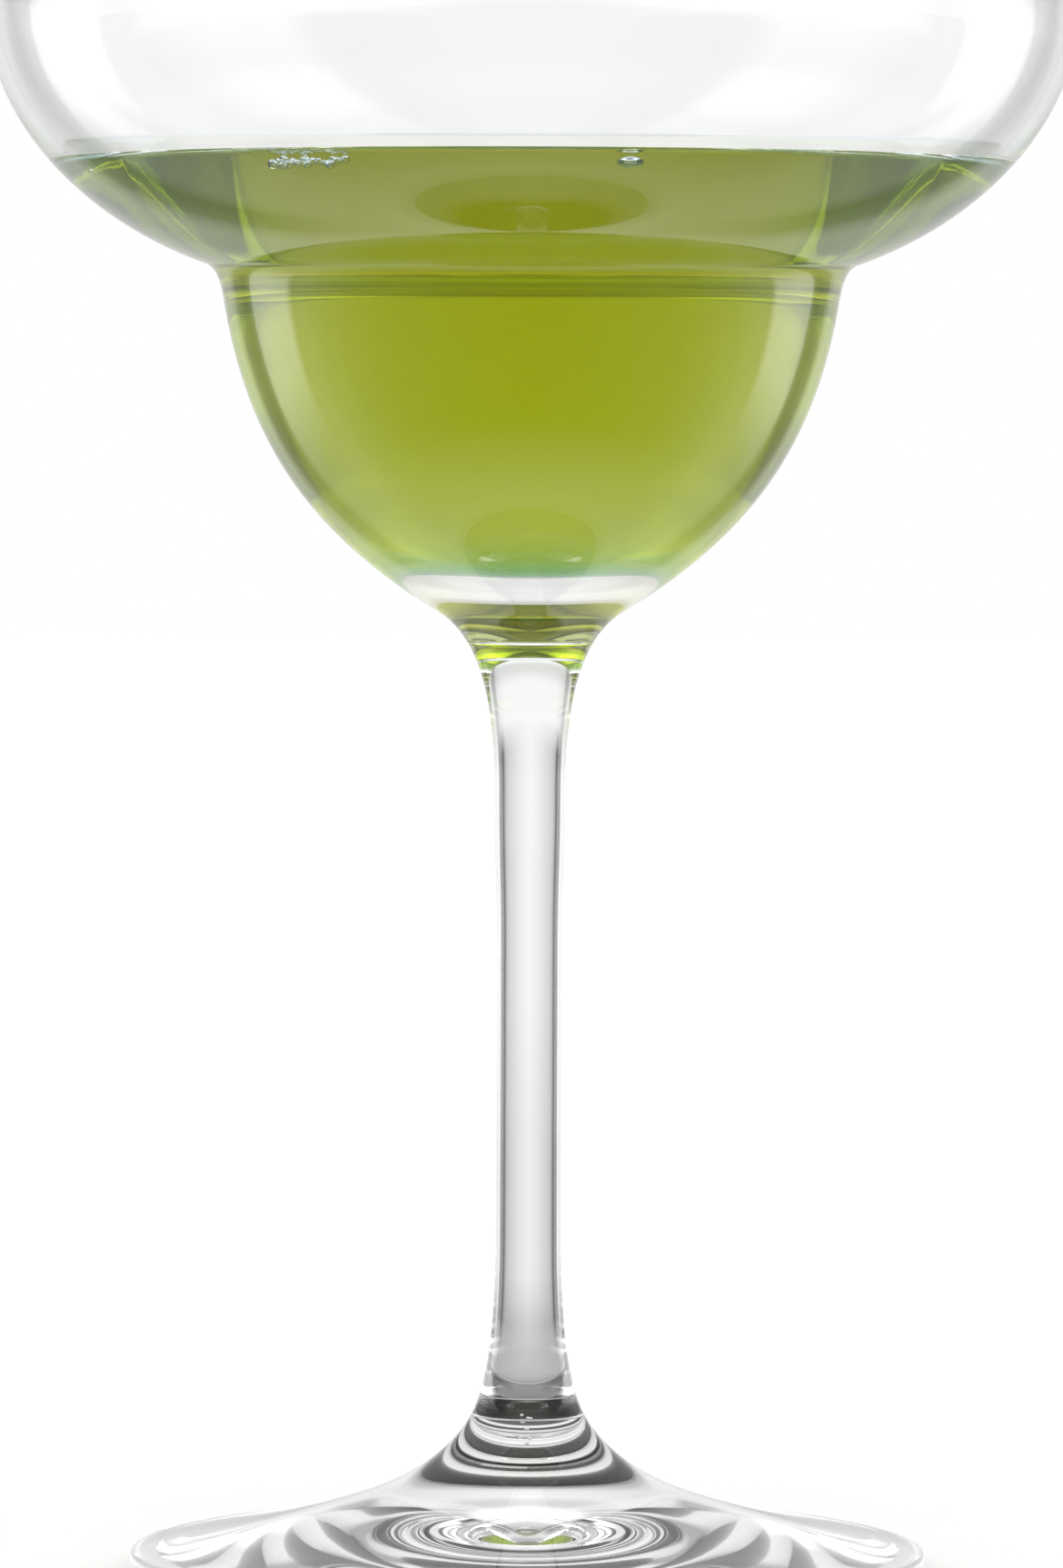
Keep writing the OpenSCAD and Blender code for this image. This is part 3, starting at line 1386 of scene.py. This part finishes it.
    def _painted_floor_glow(self, sums: NodeSums) -> bpy.types.NodeSocket:
        """Painted glow of the floor for light from the glass: a painted shadow under the foot and painted
        light around it.

        Args:
            sums: the sums of the floor's tree.

        Returns:
            The socket with the level, by place.
        """
        place = sums.tree.nodes.new("ShaderNodeTexCoord").outputs["Object"]
        aside, _, across, deep = self._angles(sums, place)
        radius = self._length(sums, across, deep)
        # painted shadow under the foot, its middle a little behind the axis and lighter towards the front
        from_painted_shadow = self._length(sums, across, sums.sum("SUBTRACT", deep, self.painted_shadow_y))
        painted_shade_near = sums.blend(sums.graph(from_painted_shadow, self.painted_shadow_near), 1.0, sums.graph(aside, self.seen_front))
        # far out the floor glows with the studio's levels by direction: painted light and shade
        around = sums.graph(aside, self.seen_low)
        far = sums.blend(1.0, around, sums.graph(radius, self.reach))
        # the painted light grows brighter than white only far out
        far = sums.sum("MINIMUM", far, sums.graph(radius, self.painted_light_reach))
        seen = sums.sum("MULTIPLY", painted_shade_near, far)
        # painted soft-box light on the floor, and painted light near the foot for mirrored rays
        boxes = sums.sum("MULTIPLY", sums.graph(aside, self.box_aside), sums.graph(radius, self.painted_box_light_near))
        near_room = sums.graph(radius, self.painted_mirrored_light_near)
        far_room = sums.graph(aside, self.mirrored_low)
        room = sums.blend(near_room, far_room, sums.graph(radius, self.mirrored_reach))
        return self._shown(sums, seen, sums.sum("ADD", room, boxes))

    def _length(
        self, sums: NodeSums, across: bpy.types.NodeSocket, deep: bpy.types.NodeSocket
    ) -> bpy.types.NodeSocket:
        """Length of a level way from its two parts."""
        squares = [sums.sum("MULTIPLY", part, part) for part in (across, deep)]
        return sums.sum("SQRT", sums.sum("ADD", *squares))


@dataclass
class Studio:
    """Camera at the photograph's place, pale floor and soft, plain light."""

    surround: Surround = field(default_factory=Surround)
    distance: float = 0.981
    height: float = 0.1318
    pitch: float = 2.81
    roll: float = 0.2
    aside: float = 0.00017
    lens: float = 213.3
    sensor: float = 36.0
    nearest: float = 0.05
    farthest: float = 50.0
    floor_size: float = 6.0

    def camera(self) -> bpy.types.Object:
        """The camera, at the photograph's viewing angle.

        Returns:
            The camera.
        """
        data = bpy.data.cameras.new("camera")
        data.sensor_width = self.sensor
        data.lens = self.lens
        data.clip_start, data.clip_end = self.nearest, self.farthest
        cam = placed("camera", data)
        turn = Matrix.Rotation(math.radians(90 - self.pitch), 4, "X") @ Matrix.Rotation(
            math.radians(self.roll), 4, "Z"
        )
        cam.matrix_world = Matrix.Translation((self.aside, -self.distance, self.height)) @ turn
        bpy.context.scene.camera = cam
        return cam

    def floor(self) -> bpy.types.Object:
        """The wide pale floor.

        Returns:
            The floor.
        """
        h = self.floor_size / 2
        mesh = bpy.data.meshes.new("floor")
        mesh.from_pydata([(-h, -h, 0), (h, -h, 0), (h, h, 0), (-h, h, 0)], [], [(0, 1, 2, 3)])
        floor = placed("floor", mesh)
        mesh.materials.append(self.surround.floor_finish())
        return floor

    def world(self) -> None:
        """Light from all round."""
        world = bpy.data.worlds.new("studio")
        bpy.context.scene.world = world
        world.use_nodes = True
        self.surround.light(world.node_tree)


def set_light_paths() -> None:
    """Lets light cross all the walls of the glass and scatter in the drink before it ends."""
    cycles = bpy.context.scene.cycles
    cycles.max_bounces = LONGEST_PATH
    cycles.transmission_bounces = LONGEST_PATH
    cycles.glossy_bounces = LONGEST_PATH
    cycles.volume_bounces = HAZE_BOUNCES
    cycles.transparent_max_bounces = LONGEST_PATH
    cycles.min_light_bounces = SHORTEST_PATH


def main() -> None:
    """Builds the studio, the glass and the drink, and logs the faces of each piece."""
    logging.basicConfig(level=logging.INFO, format="%(message)s")
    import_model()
    bpy.context.scene.view_settings.view_transform = "Standard"
    set_light_paths()
    studio = Studio()
    studio.camera()
    studio.floor()
    studio.world()
    shape, lathe = Shape(), Lathe()
    glass = Glassware(
        shape,
        lathe,
        clear=ClearGlass("clear_glass").material(),
        wet=ClearGlass("wet_glass", ior=GLASS_IOR / DRINK_IOR).material(),
        seam=FusedSeam().material(),
    )
    filling = Filling(
        shape,
        lathe,
        body_finish=Drink("drink_body", level_z=shape.level_z, floor_z=shape.floor_z).material(),
        skin_finish=ClearGlass("drink_surface", ior=DRINK_IOR, tint=WHITE).material(),
    )
    bubbles = Bubbles(shape).pieces(
        in_drink=TrappedAir("drink_bubble", around=DRINK_IOR).material(),
        in_glass=TrappedAir("glass_bubble", around=GLASS_IOR).material(),
    )
    for piece in (glass.bowl(), glass.stem(), glass.foot(), filling.body(), filling.skin(), *bubbles):
        log.info("%s: %d faces", piece.name, len(piece.data.polygons))


if __name__ == "__main__":
    main()
